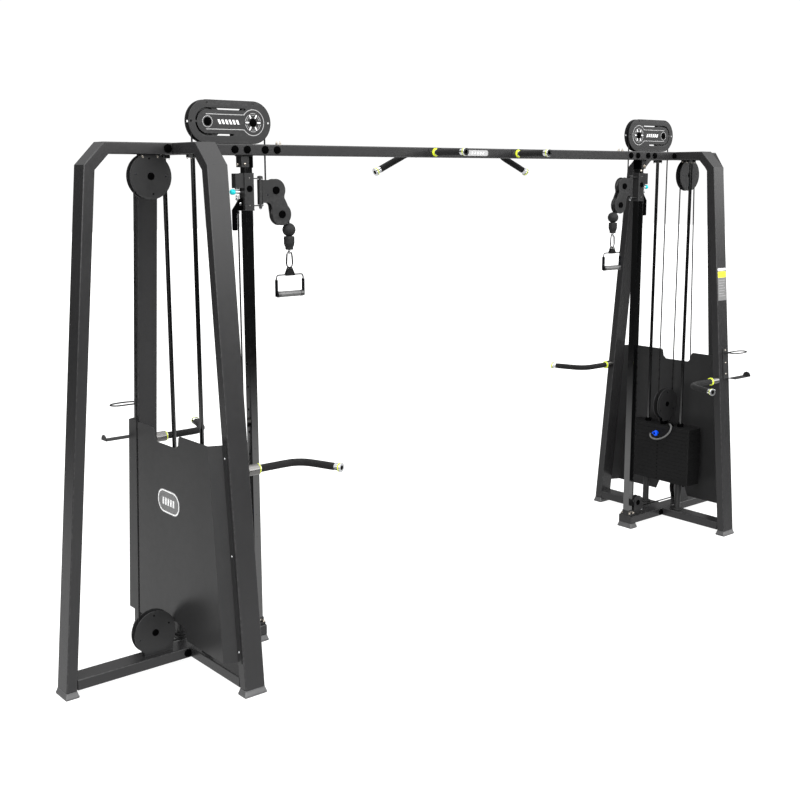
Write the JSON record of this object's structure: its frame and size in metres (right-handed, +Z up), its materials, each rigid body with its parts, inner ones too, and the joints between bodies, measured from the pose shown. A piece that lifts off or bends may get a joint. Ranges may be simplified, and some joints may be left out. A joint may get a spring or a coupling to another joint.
{
  "type": "cable crossover machine",
  "caption": "Two weight-stack towers joined by a chin-up beam, each with a closed cable loop, a sliding carriage, a swivelling pulley arm and a stirrup handle.",
  "frame": {"origin": "on the floor, under the middle of the machine's bounding box", "axes": "+X along the beam towards the right tower, +Y through the depth away from the user, +Z up"},
  "size_m": [4.884, 1.3042, 2.595],
  "materials": {
    "frame": "satin powder coat",
    "gloss": "gloss black paint",
    "matte": "satin powder coat",
    "sheet": "satin powder coat",
    "stack": "matt black",
    "nylon": "matt",
    "rubber": "matt",
    "foam": "foam",
    "chrome": "polished",
    "cable": "smooth jacket",
    "blue": "gloss",
    "cyan": "gloss",
    "cord": "smooth"
  },
  "bodies": {
    "frame": {"crossbeam": "frame", "a_frame_r": "frame", "accessory_holder_r": "matte", "outer_leg_r": "frame", "base_frame_r": "frame", "guide_column_r": "gloss", "shroud_r": "sheet", "guide_rod_front_r": "gloss", "guide_rod_back_r": "gloss", "side_handle_front_r": "foam", "side_handle_back_r": "foam", "weight_stack_r": "stack", "top_housing_r": "matte", "cable_r": "cable", "a_frame_l": "frame", "accessory_holder_l": "matte", "outer_leg_l": "frame", "base_frame_l": "frame", "guide_column_l": "gloss", "shroud_l": "sheet", "guide_rod_front_l": "gloss", "guide_rod_back_l": "gloss", "side_handle_front_l": "foam", "side_handle_back_l": "foam", "weight_stack_l": "stack", "top_housing_l": "matte", "cable_l": "cable"},
    "lift_r": {"stack_head_r": "stack", "lanyard_r": "cord"},
    "carriage_r": {"carriage_r": "matte"},
    "arm_r": {"swivel_arm_r": "matte"},
    "stop_r": {"cable_stop_r": "rubber"},
    "stack_pulley_r": {"stack_pulley_r": "nylon"},
    "selector_pin_r": {"selector_pin_r": "blue"},
    "top_pulley_inner_r": {"top_pulley_inner_r": "nylon"},
    "top_pulley_outer_r": {"top_pulley_outer_r": "nylon"},
    "upper_pulley_r": {"upper_pulley_r": "nylon"},
    "lower_pulley_r": {"lower_pulley_r": "nylon"},
    "base_pulley_r": {"base_pulley_r": "nylon"},
    "pop_pin_r": {"pop_pin_r": "cyan"},
    "arm_pulley_upper_r": {"arm_pulley_upper_r": "nylon"},
    "arm_pulley_lower_r": {"arm_pulley_lower_r": "nylon"},
    "handle_r": {"handle_r": "chrome"},
    "lift_l": {"stack_head_l": "stack", "lanyard_l": "cord"},
    "carriage_l": {"carriage_l": "matte"},
    "arm_l": {"swivel_arm_l": "matte"},
    "stop_l": {"cable_stop_l": "rubber"},
    "stack_pulley_l": {"stack_pulley_l": "nylon"},
    "selector_pin_l": {"selector_pin_l": "blue"},
    "top_pulley_inner_l": {"top_pulley_inner_l": "nylon"},
    "top_pulley_outer_l": {"top_pulley_outer_l": "nylon"},
    "upper_pulley_l": {"upper_pulley_l": "nylon"},
    "lower_pulley_l": {"lower_pulley_l": "nylon"},
    "base_pulley_l": {"base_pulley_l": "nylon"},
    "pop_pin_l": {"pop_pin_l": "cyan"},
    "arm_pulley_upper_l": {"arm_pulley_upper_l": "nylon"},
    "arm_pulley_lower_l": {"arm_pulley_lower_l": "nylon"},
    "handle_l": {"handle_l": "chrome"}
  },
  "joints": [
    {"name": "carriage_slide_r", "type": "slide", "parent": "frame", "child": "carriage_r", "axis": [0, 0, 1], "range_m": [-1.65, 0], "deforming": ["cable_r"]},
    {"name": "pop_pin_pull_r", "type": "slide", "parent": "carriage_r", "child": "pop_pin_r", "axis": [1, 0, 0], "range_m": [0, 0.012], "stiffness_N_per_m": 400, "springref_m": -0.01},
    {"name": "arm_swivel_r", "type": "hinge", "parent": "carriage_r", "child": "arm_r", "pos_m": [1.346, 0, 2.185], "axis": [0, 0, 1], "range_deg": [-85, 85]},
    {"name": "stack_lift_r", "type": "slide", "parent": "frame", "child": "lift_r", "axis": [0, 0, 1], "range_m": [0, 0.52]},
    {"name": "cable_pull_r", "type": "slide", "parent": "arm_r", "child": "stop_r", "axis": [-1, 0, 0], "range_m": [0, 1.04]},
    {"name": "handle_swing_r", "type": "hinge", "parent": "stop_r", "child": "handle_r", "pos_m": [1.189, 0, 1.899], "axis": [1, 0, 0], "range_deg": [-60, 60]},
    {"name": "selector_pin_slide_r", "type": "slide", "parent": "lift_r", "child": "selector_pin_r", "axis": [-1, 0, 0], "range_m": [0, 0.055]},
    {"name": "top_pulley_inner_spin_r", "type": "hinge", "parent": "frame", "child": "top_pulley_inner_r", "pos_m": [1.388, 0, 2.499], "axis": [0, 1, 0], "range_deg": [-830, 0]},
    {"name": "top_pulley_outer_spin_r", "type": "hinge", "parent": "frame", "child": "top_pulley_outer_r", "pos_m": [1.6268, 0, 2.499], "axis": [0, 1, 0], "range_deg": [-830, 0]},
    {"name": "stack_pulley_spin_r", "type": "hinge", "parent": "lift_r", "child": "stack_pulley_r", "pos_m": [1.7708, 0, 0.772], "axis": [0, 1, 0], "range_deg": [0, 415]},
    {"name": "arm_pulley_upper_spin_r", "type": "hinge", "parent": "arm_r", "child": "arm_pulley_upper_r", "pos_m": [1.2685, 0, 2.192], "axis": [0, 1, 0], "range_deg": [0, 1256]},
    {"name": "arm_pulley_lower_spin_r", "type": "hinge", "parent": "arm_r", "child": "arm_pulley_lower_r", "pos_m": [1.2365, 0, 2.079], "axis": [0, 1, 0], "range_deg": [-1256, 0]},
    {"name": "upper_pulley_spin_r", "type": "hinge", "parent": "frame", "child": "upper_pulley_r", "pos_m": [1.9148, 0, 2.258], "axis": [0, 1, 0], "range_deg": [-1315, 0]},
    {"name": "lower_pulley_spin_r", "type": "hinge", "parent": "frame", "child": "lower_pulley_r", "pos_m": [1.983, 0, 0.185], "axis": [0, 1, 0], "range_deg": [-1315, 0]},
    {"name": "base_pulley_spin_r", "type": "hinge", "parent": "frame", "child": "base_pulley_r", "pos_m": [1.505, 0, 0.149], "axis": [0, 1, 0], "range_deg": [-2628, 0]},
    {"name": "carriage_slide_l", "type": "slide", "parent": "frame", "child": "carriage_l", "axis": [0, 0, 1], "range_m": [-1.65, 0], "deforming": ["cable_l"]},
    {"name": "pop_pin_pull_l", "type": "slide", "parent": "carriage_l", "child": "pop_pin_l", "axis": [-1, 0, 0], "range_m": [0, 0.012], "stiffness_N_per_m": 400, "springref_m": -0.01},
    {"name": "arm_swivel_l", "type": "hinge", "parent": "carriage_l", "child": "arm_l", "pos_m": [-1.346, 0, 2.185], "axis": [0, 0, 1], "range_deg": [-85, 85]},
    {"name": "stack_lift_l", "type": "slide", "parent": "frame", "child": "lift_l", "axis": [0, 0, 1], "range_m": [0, 0.52]},
    {"name": "cable_pull_l", "type": "slide", "parent": "arm_l", "child": "stop_l", "axis": [1, 0, 0], "range_m": [0, 1.04]},
    {"name": "handle_swing_l", "type": "hinge", "parent": "stop_l", "child": "handle_l", "pos_m": [-1.189, 0, 1.899], "axis": [-1, 0, 0], "range_deg": [-60, 60]},
    {"name": "selector_pin_slide_l", "type": "slide", "parent": "lift_l", "child": "selector_pin_l", "axis": [1, 0, 0], "range_m": [0, 0.055]},
    {"name": "top_pulley_inner_spin_l", "type": "hinge", "parent": "frame", "child": "top_pulley_inner_l", "pos_m": [-1.388, 0, 2.499], "axis": [0, -1, 0], "range_deg": [-830, 0]},
    {"name": "top_pulley_outer_spin_l", "type": "hinge", "parent": "frame", "child": "top_pulley_outer_l", "pos_m": [-1.6268, 0, 2.499], "axis": [0, -1, 0], "range_deg": [-830, 0]},
    {"name": "stack_pulley_spin_l", "type": "hinge", "parent": "lift_l", "child": "stack_pulley_l", "pos_m": [-1.7708, 0, 0.772], "axis": [0, -1, 0], "range_deg": [0, 415]},
    {"name": "arm_pulley_upper_spin_l", "type": "hinge", "parent": "arm_l", "child": "arm_pulley_upper_l", "pos_m": [-1.2685, 0, 2.192], "axis": [0, -1, 0], "range_deg": [0, 1256]},
    {"name": "arm_pulley_lower_spin_l", "type": "hinge", "parent": "arm_l", "child": "arm_pulley_lower_l", "pos_m": [-1.2365, 0, 2.079], "axis": [0, -1, 0], "range_deg": [-1256, 0]},
    {"name": "upper_pulley_spin_l", "type": "hinge", "parent": "frame", "child": "upper_pulley_l", "pos_m": [-1.9148, 0, 2.258], "axis": [0, -1, 0], "range_deg": [-1315, 0]},
    {"name": "lower_pulley_spin_l", "type": "hinge", "parent": "frame", "child": "lower_pulley_l", "pos_m": [-1.983, 0, 0.185], "axis": [0, -1, 0], "range_deg": [-1315, 0]},
    {"name": "base_pulley_spin_l", "type": "hinge", "parent": "frame", "child": "base_pulley_l", "pos_m": [-1.505, 0, 0.149], "axis": [0, -1, 0], "range_deg": [-2628, 0]}
  ],
  "couplings": [
    {"joint": "cable_pull_r", "follows": "stack_lift_r", "ratio": 2},
    {"joint": "top_pulley_inner_spin_r", "follows": "stack_lift_r", "rad_per_m": -27.778},
    {"joint": "top_pulley_outer_spin_r", "follows": "stack_lift_r", "rad_per_m": -27.778},
    {"joint": "stack_pulley_spin_r", "follows": "stack_lift_r", "rad_per_m": 13.889},
    {"joint": "arm_pulley_upper_spin_r", "follows": "stack_lift_r", "rad_per_m": 42.105},
    {"joint": "arm_pulley_lower_spin_r", "follows": "stack_lift_r", "rad_per_m": -42.105},
    {"joint": "upper_pulley_spin_r", "follows": "carriage_slide_r", "rad_per_m": 13.889},
    {"joint": "lower_pulley_spin_r", "follows": "carriage_slide_r", "rad_per_m": 13.889},
    {"joint": "base_pulley_spin_r", "follows": "carriage_slide_r", "rad_per_m": 27.778},
    {"joint": "cable_pull_l", "follows": "stack_lift_l", "ratio": 2},
    {"joint": "top_pulley_inner_spin_l", "follows": "stack_lift_l", "rad_per_m": -27.778},
    {"joint": "top_pulley_outer_spin_l", "follows": "stack_lift_l", "rad_per_m": -27.778},
    {"joint": "stack_pulley_spin_l", "follows": "stack_lift_l", "rad_per_m": 13.889},
    {"joint": "arm_pulley_upper_spin_l", "follows": "stack_lift_l", "rad_per_m": 42.105},
    {"joint": "arm_pulley_lower_spin_l", "follows": "stack_lift_l", "rad_per_m": -42.105},
    {"joint": "upper_pulley_spin_l", "follows": "carriage_slide_l", "rad_per_m": 13.889},
    {"joint": "lower_pulley_spin_l", "follows": "carriage_slide_l", "rad_per_m": 13.889},
    {"joint": "base_pulley_spin_l", "follows": "carriage_slide_l", "rad_per_m": 27.778}
  ]
}
